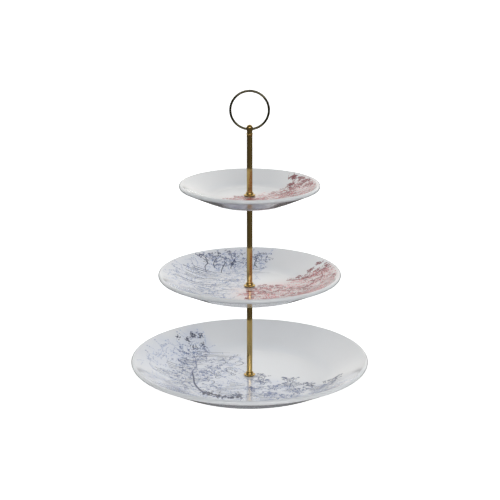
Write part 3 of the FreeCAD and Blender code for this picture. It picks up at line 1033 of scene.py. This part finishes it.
# %% Turn the collars
COLLARS = {"lower": "lower_post", "middle": "middle_bell", "upper": "upper_bell"}
NECK_WALL, SOCKET_FLOOR, SOCKET_GAP, STUD_GAP = 0.9, 1.2, 0.05, 0.2
for post, body in COLLARS.items():
    node = post + "_collar"
    low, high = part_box(node)
    foot, top, wide = low.z / MM, high.z / MM, high.x / MM
    neck = ROD + NECK_WALL
    tall = top - foot
    bore = STUD + STUD_GAP
    outline = [(bore, foot + SOCKET_FLOOR), (bore, foot + 0.1), (STUD + 0.3, foot)]
    outline += bend((wide - 0.3, foot + 0.3), 0.3, -90, 0, 4)
    outline += bend((wide - 0.3, foot + 0.55), 0.3, 0, 70, 5)
    outline += [(neck + reach * (wide - neck), foot + 0.8 + rise * (tall - 1.8))
                for reach, rise in ((0.6, 0.08), (0.38, 0.2), (0.18, 0.42), (0.05, 0.72), (0, 1))]
    outline += bend((neck - 0.1, top - 0.62), 0.36, -60, 60, 7)
    outline += bend((neck - 0.22, top - 0.2), 0.2, 30, 90, 3)
    outline += [(ROD + 0.2, top), (ROD + SOCKET_GAP, top - 0.15),
                (ROD + SOCKET_GAP, foot + SOCKET_FLOOR), (bore, foot + SOCKET_FLOOR)]
    collar = turned(node + "_turned", outline, turned_brass, SIDES_COLLAR, sharp=38)
    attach(collar, body)
    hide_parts(node)

# %% [markdown]
# ## Hidden fittings
# Below each plate are a steel washer and, against the glaze on both sides, a soft pad that
# keeps metal off porcelain. The washers are stamped and brushed; the pads are cut from dark
# rubber, and their near-black also serves as painted shade along each collar's foot. Their CAD
# shapes are right as they are, so they only get finishes, as do the finial, ring and screw.

# %% Brushed steel and soft pads
brushed_steel, tree, shader = new_finish("brushed_steel", Metallic=1.0, IOR=1.5)
place = add(tree, "ShaderNodeTexCoord").outputs["Object"]
grain = noise(tree, add(tree, "ShaderNodeMapping", {"Vector": place, "Scale": (300, 9000, 9000)}
                        ).outputs[0], 1.0, detail=4, roughness=0.7)
wear = noise(tree, place, 220, detail=3)
tree.links.new(blend_colour(tree, wear, linear(206, 207, 210), linear(178, 179, 184)),
               shader.inputs["Base Color"])
tree.links.new(between(tree, grain, 0.2, 0.42), shader.inputs["Roughness"])
tree.links.new(add(tree, "ShaderNodeBump", {"Height": maths(tree, "MULTIPLY", grain, 0.000004),
                                            "Distance": 1.0, "Strength": 0.6}
                   ).outputs[0], shader.inputs["Normal"])

pad_rubber_and_shade, tree, shader = new_finish("dark_rubber", IOR=1.45, Specular_IOR_Level=0.4)
place = add(tree, "ShaderNodeTexCoord").outputs["Object"]
cloudy = noise(tree, place, 420, detail=4, roughness=0.6)
# painted shade: the pads' near-black rubber colour also draws the dark line at each collar's foot
tree.links.new(blend_colour(tree, cloudy, linear(66, 60, 52), linear(44, 41, 36)),
               shader.inputs["Base Color"])
tree.links.new(between(tree, cloudy, 0.42, 0.6), shader.inputs["Roughness"])
tree.links.new(add(tree, "ShaderNodeBump", {"Height": maths(tree, "MULTIPLY", cloudy, 0.00003),
                                            "Distance": 1.0, "Strength": 0.5}
                   ).outputs[0], shader.inputs["Normal"])

FINISHES = {"finial": turned_brass, "ring_handle": dark_wire, "bottom_screw": brushed_steel,
            "washer": brushed_steel, "pad": pad_rubber_and_shade}
for node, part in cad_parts.items():
    for key, finish in FINISHES.items():
        if key in node:
            for slot in part.material_slots:
                slot.material = finish
            print(node, "->", finish.name)

# %% [markdown]
# ## The set
# The stand is shown as in a shop's catalogue: on a white floor, in soft light from all sides.
# The plates scatter light, so they need an even sky that is a little stronger from the right
# and from low down, where a white table would throw it back. Brass mirrors what is round it, so
# it needs something to mirror: a bright backdrop, dark sides, one bright card in front, and a
# few faint ones that show as fine lines. The world shader gives both: it shows its cards to
# mirror rays and its even sky to all others.

# %% Floor
scene = bpy.context.scene
scene.view_settings.view_transform = "Standard"
scene.view_settings.look = "None"

floor_paint, tree, shader = new_finish("floor_paint", Base_Color=(0.9, 0.9, 0.9, 1), Roughness=0.9,
                                       Emission_Color=(1, 1, 1, 1), Emission_Strength=0.7)
HALF_FLOOR = 7.0
floor_mesh = bpy.data.meshes.new("floor")
floor_mesh.from_pydata([(-HALF_FLOOR, -HALF_FLOOR, 0), (HALF_FLOOR, -HALF_FLOOR, 0),
                        (HALF_FLOOR, HALF_FLOOR, 0), (-HALF_FLOOR, HALF_FLOOR, 0)], [],
                       [(0, 1, 2, 3)])
floor_mesh.materials.append(floor_paint)
floor = link(bpy.data.objects.new("floor", floor_mesh))
floor.location.z = -0.0002
floor.visible_glossy = False
floor.visible_diffuse = False

# The table just round the foot throws light back under the bottom plate, and hardly any higher.
table_white, tree, shader = new_finish("table_white", Base_Color=(0.9, 0.9, 0.9, 1),
                                       Roughness=0.9, Emission_Color=(1, 1, 1, 1),
                                       Emission_Strength=0.45)
NEAR_TABLE, SIDES_TABLE = 0.17, 64
edge = [(NEAR_TABLE * math.cos(a), NEAR_TABLE * math.sin(a), 0)
        for a in np.arange(SIDES_TABLE) * 2 * math.pi / SIDES_TABLE]
table_mesh = bpy.data.meshes.new("table")
table_mesh.from_pydata(edge, [], [tuple(range(SIDES_TABLE))])
table_mesh.materials.append(table_white)
table = link(bpy.data.objects.new("table", table_mesh))
table.location.z = -0.0001
table.visible_camera = table.visible_glossy = False

# %% What the brass mirrors
studio = bpy.data.worlds.new("studio")
scene.world = studio
studio.use_nodes = True
studio.cycles.sampling_method = "NONE"
tree = studio.node_tree
tree.nodes.clear()
way = add(tree, "ShaderNodeSeparateXYZ",
          {0: add(tree, "ShaderNodeTexCoord").outputs["Generated"]}).outputs


def ease(tree, value, start, end, low, high):
    """Go smoothly from low to high as a value goes from start to end."""
    return add(tree, "ShaderNodeMapRange",
               {"Value": value, "From Min": start, "From Max": end, "To Min": low,
                "To Max": high}, interpolation_type="SMOOTHSTEP").outputs["Result"]


level = maths(tree, "SQRT", maths(tree, "ADD", maths(tree, "MULTIPLY", way["X"], way["X"]),
                                  maths(tree, "MULTIPLY", way["Y"], way["Y"])))


def card(azimuth, width, strength):
    """A tall soft-edged light card; its azimuth and half its width are in degrees."""
    a = math.radians(azimuth)
    towards = maths(tree, "DIVIDE", maths(tree, "ADD",
                                          maths(tree, "MULTIPLY", way["X"], math.cos(a)),
                                          maths(tree, "MULTIPLY", way["Y"], math.sin(a))), level)
    return ease(tree, towards, math.cos(math.radians(width)), math.cos(math.radians(width * 0.8)),
                0.0, strength)


between_heights = maths(tree, "MULTIPLY", ease(tree, way["Z"], 0.205, 0.24, 0.0, 1.0),
                        ease(tree, way["Z"], 0.35, 0.42, 1.0, 0.0))
high_cards = maths(tree, "MULTIPLY", card(-84, 36, 4.8), between_heights)
low_cards = maths(tree, "ADD",
                  maths(tree, "ADD", card(-30, 4, 0.35), card(-72, 5, 0.14)),
                  maths(tree, "ADD", card(60, 6, 0.15), card(125, 6, 0.15)))
above = ease(tree, way["Z"], 0.02, 0.12, 0.0, 1.0)
backdrop = ease(tree, way["Y"], 0.15, 0.75, 0.03, 0.95)
mirrored = maths(tree, "ADD", maths(tree, "MULTIPLY", above,
                                    maths(tree, "ADD", backdrop, high_cards)),
                 maths(tree, "ADD", low_cards, 0.09))
mirror_sky = add(tree, "ShaderNodeBackground", {"Color": (1, 0.98, 0.94, 1), "Strength": mirrored})

# %% What lights the porcelain
from_back = ease(tree, way["Y"], -1.0, 1.0, 0.9, 1.4)
from_right = ease(tree, way["X"], -1.0, 1.0, 1.05, 1.3)
from_low = maths(tree, "MULTIPLY", ease(tree, way["Z"], 0.02, 0.25, 0.12, 1.62),
                 ease(tree, way["Z"], 0.33, 0.66, 1.0, 0.05))
sky = maths(tree, "MULTIPLY", maths(tree, "MULTIPLY", from_back, from_right), from_low)
white_table = 0.03
even = ease(tree, way["Z"], -0.05, 0.05, white_table, sky)
even_sky = add(tree, "ShaderNodeBackground", {"Color": (0.97, 0.99, 1, 1), "Strength": even})
rays = add(tree, "ShaderNodeLightPath")
both = add(tree, "ShaderNodeMixShader", {0: rays.outputs["Is Glossy Ray"], 1: even_sky.outputs[0],
                                         2: mirror_sky.outputs[0]})
# Past the end of the floor the camera sees a plain white wall.
white_wall = add(tree, "ShaderNodeBackground", {"Color": (1, 1, 1, 1), "Strength": 1.0})
seen = add(tree, "ShaderNodeMixShader", {0: rays.outputs["Is Camera Ray"], 1: both.outputs[0],
                                         2: white_wall.outputs[0]})
out = tree.nodes.new("ShaderNodeOutputWorld")
tree.links.new(seen.outputs[0], out.inputs["Surface"])


def softbox(name, place, size, power):
    """A square light that faces the stand; its own reflection is left to the cards."""
    lamp = bpy.data.lights.new(name, "AREA")
    lamp.size, lamp.energy = size, power
    box = link(bpy.data.objects.new(name, lamp))
    box.location = place
    aim = Vector((0, 0, 0.1)) - Vector(place)
    box.rotation_euler = aim.to_track_quat("-Z", "Y").to_euler()
    box.visible_glossy = False


softbox("softbox_right", (1.7, -1.3, 1.2), 1.2, 3.4)
softbox("softbox_left", (-1.7, -0.9, 1.6), 1.2, 2)
softbox("softbox_back", (0.2, 1.8, 2.0), 1.4, 1.2)
softbox("softbox_front", (0.4, -2.1, 0.9), 1.0, 5)

# %% [markdown]
# ## Camera
# A long lens from a little above the top plate looks slightly down, so each plate shows its
# face and the edge of its foot.

# %% Camera, sizes and the end
camera = bpy.data.cameras.new("camera")
camera.lens, camera.sensor_width = 100, 36
camera.shift_x = 0.0008
view = link(bpy.data.objects.new("camera", camera))
view.location = (0, -1.492, 0.5945)
view.rotation_euler = (math.radians(90) - 0.283, 0, 0)
scene.camera = view
